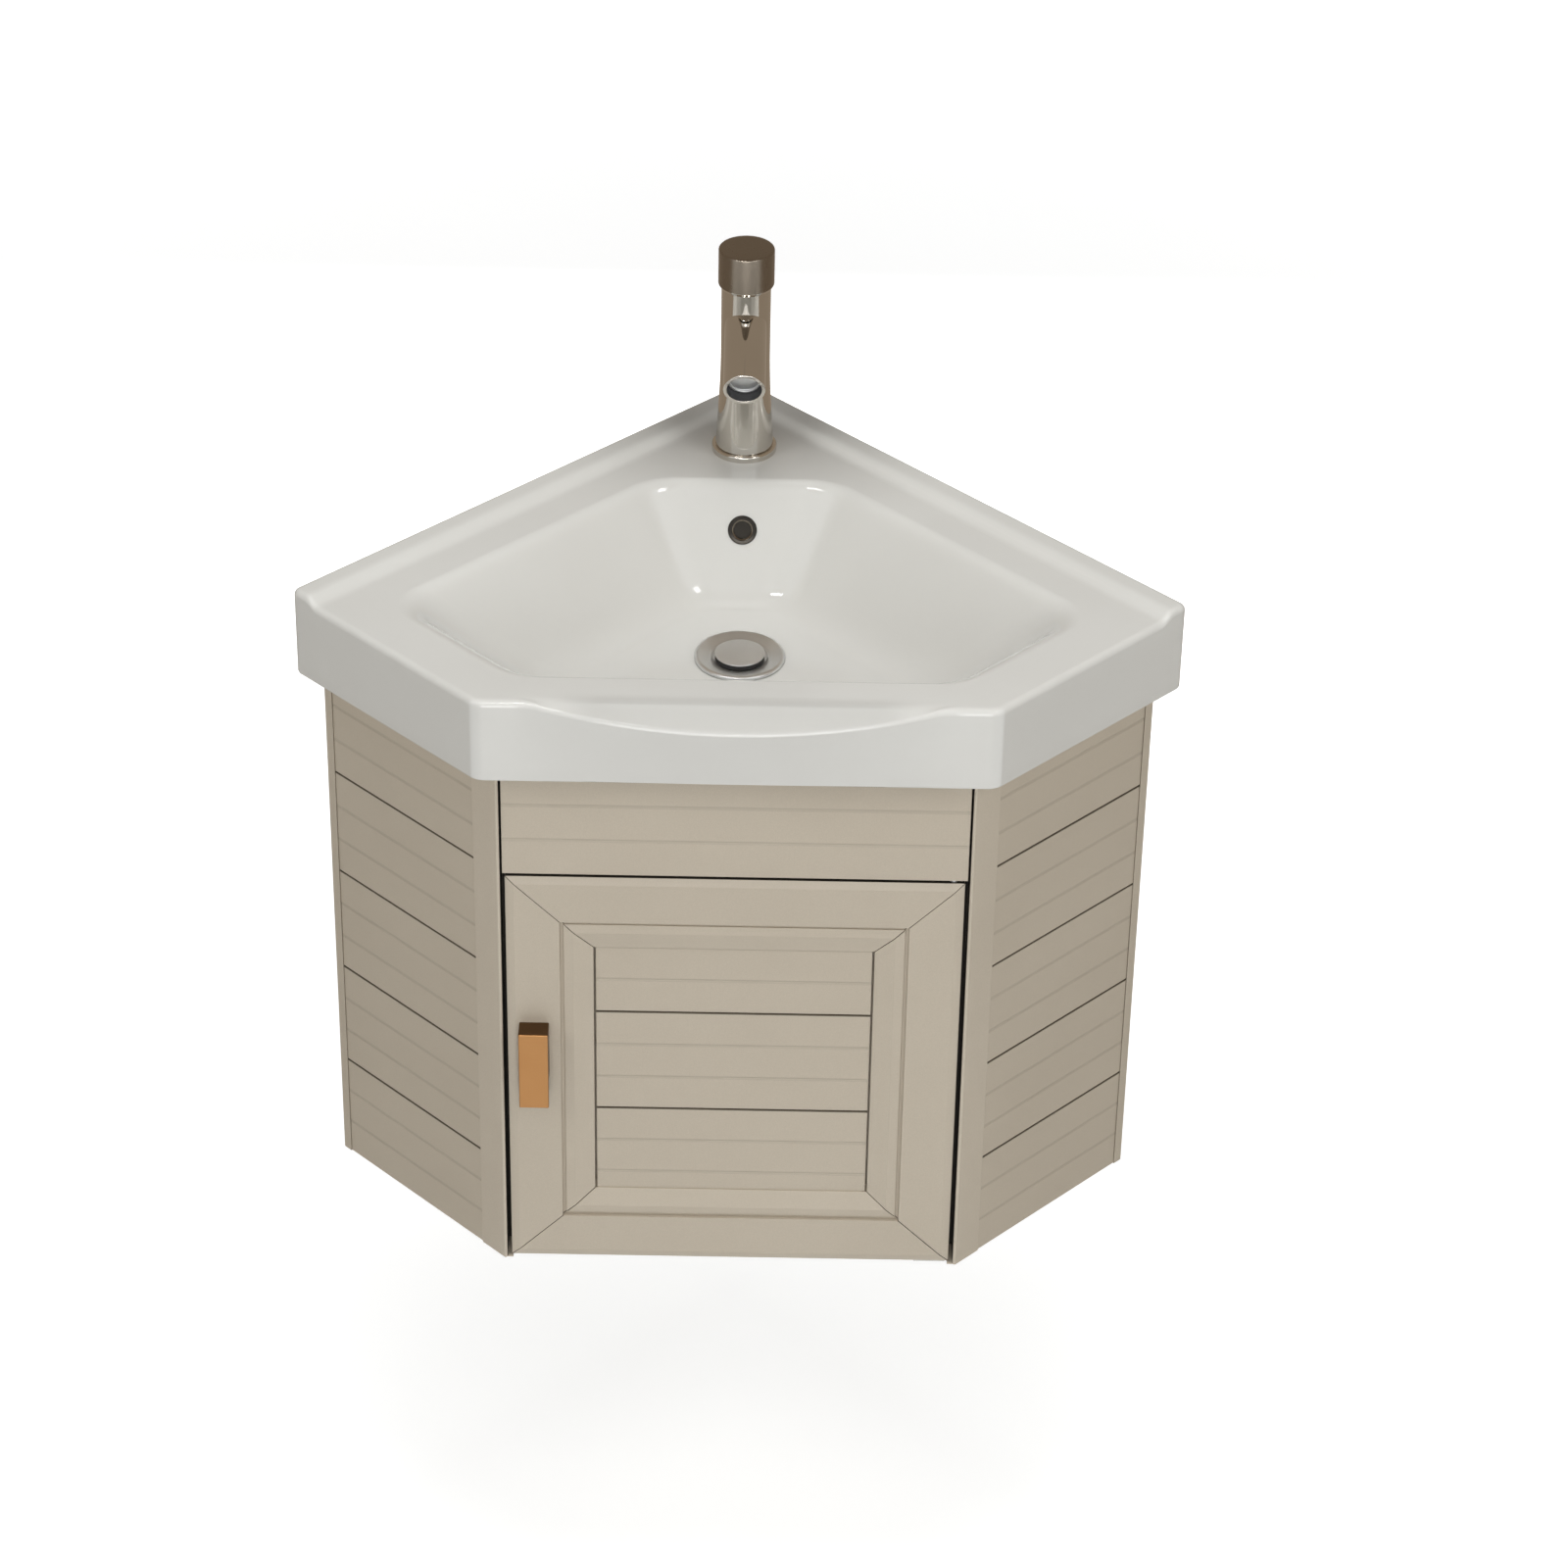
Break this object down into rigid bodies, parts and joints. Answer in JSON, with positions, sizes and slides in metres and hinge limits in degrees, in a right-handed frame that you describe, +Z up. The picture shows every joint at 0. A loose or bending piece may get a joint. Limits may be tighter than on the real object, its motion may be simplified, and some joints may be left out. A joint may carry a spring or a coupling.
{
  "type": "corner vanity unit",
  "caption": "Wall-hung corner washbasin on a taupe aluminium cabinet with a hinged panelled door and a chrome single-lever mixer tap.",
  "frame": {"origin": "on the line where the two walls meet, level with the cabinet's underside", "axes": "+Z up along the wall corner, -Y out of the corner towards the front, +X to the right"},
  "size_m": [0.6314, 0.4724, 0.677],
  "materials": {
    "ceramic_white": "gloss",
    "chrome": "polished",
    "dark_plastic": "matt",
    "white_plastic": "satin",
    "brass": "machined",
    "steel": "brushed",
    "rubber": "matt",
    "taupe_aluminium": "satin powder coat",
    "plain_aluminium": "mill",
    "floor_board": "satin",
    "brass_pull": "brushed satin"
  },
  "bodies": {
    "unit": {"basin_deck": "ceramic_white", "basin_bowl": "ceramic_white", "overflow_ring": "chrome", "tap_base_ring": "chrome", "tap_body": "chrome", "waste_body": "chrome", "tap_aerator": "dark_plastic", "magnet_catch": "dark_plastic", "tap_cartridge": "white_plastic", "waste_tail": "white_plastic", "trap_body": "white_plastic", "trap_cup": "white_plastic", "trap_nuts": "white_plastic", "trap_outlet_pipe": "white_plastic", "waste_nut": "white_plastic", "tap_cartridge_nut": "brass", "tap_stud": "steel", "tap_clamp_plate": "steel", "tap_clamp_nut": "steel", "pivot_plate": "steel", "waste_washer": "rubber", "fascia": "taupe_aluminium", "top_rails": "taupe_aluminium", "cross_rails": "taupe_aluminium", "post_left": "taupe_aluminium", "post_right": "taupe_aluminium", "rear_stile_left": "taupe_aluminium", "rear_stile_right": "taupe_aluminium", "side_plank_left_1": "taupe_aluminium", "side_plank_left_2": "taupe_aluminium", "side_plank_left_3": "taupe_aluminium", "side_plank_left_4": "taupe_aluminium", "side_plank_left_5": "taupe_aluminium", "side_plank_right_1": "taupe_aluminium", "side_plank_right_2": "taupe_aluminium", "side_plank_right_3": "taupe_aluminium", "side_plank_right_4": "taupe_aluminium", "side_plank_right_5": "taupe_aluminium", "bottom_rails": "plain_aluminium", "rear_corner_post": "plain_aluminium", "hanging_rails": "plain_aluminium", "bottom_panel": "floor_board"},
    "door": {"door_rail_top": "taupe_aluminium", "door_rail_bottom": "taupe_aluminium", "door_stile_left": "taupe_aluminium", "door_stile_right": "taupe_aluminium", "door_beads": "taupe_aluminium", "door_plank_1": "taupe_aluminium", "door_plank_2": "taupe_aluminium", "door_plank_3": "taupe_aluminium", "door_corner_blocks": "plain_aluminium", "door_handle": "brass_pull", "handle_screws": "steel", "pivot_pin": "steel", "catch_strike": "steel"},
    "tap_turn": {"tap_carrier": "white_plastic", "tap_axle": "steel"},
    "tap_lever": {"tap_lever_stem": "steel", "tap_handle": "chrome"},
    "plug": {"waste_plug": "chrome"}
  },
  "joints": [
    {"name": "door_hinge", "type": "hinge", "parent": "unit", "child": "door", "pos_m": [0.15533, -0.4242, 0.174], "axis": [0, 0, 1], "range_deg": [0, 100]},
    {"name": "tap_swivel", "type": "hinge", "parent": "unit", "child": "tap_turn", "pos_m": [0, -0.097, 0.6395], "axis": [0, 0, 1], "range_deg": [-45, 45]},
    {"name": "tap_lift", "type": "hinge", "parent": "tap_turn", "child": "tap_lever", "pos_m": [0, -0.097, 0.6395], "axis": [-1, 0, 0], "range_deg": [0, 20]},
    {"name": "plug_rise", "type": "slide", "parent": "unit", "child": "plug", "axis": [0, 0, 1], "range_m": [0, 0.008]}
  ]
}
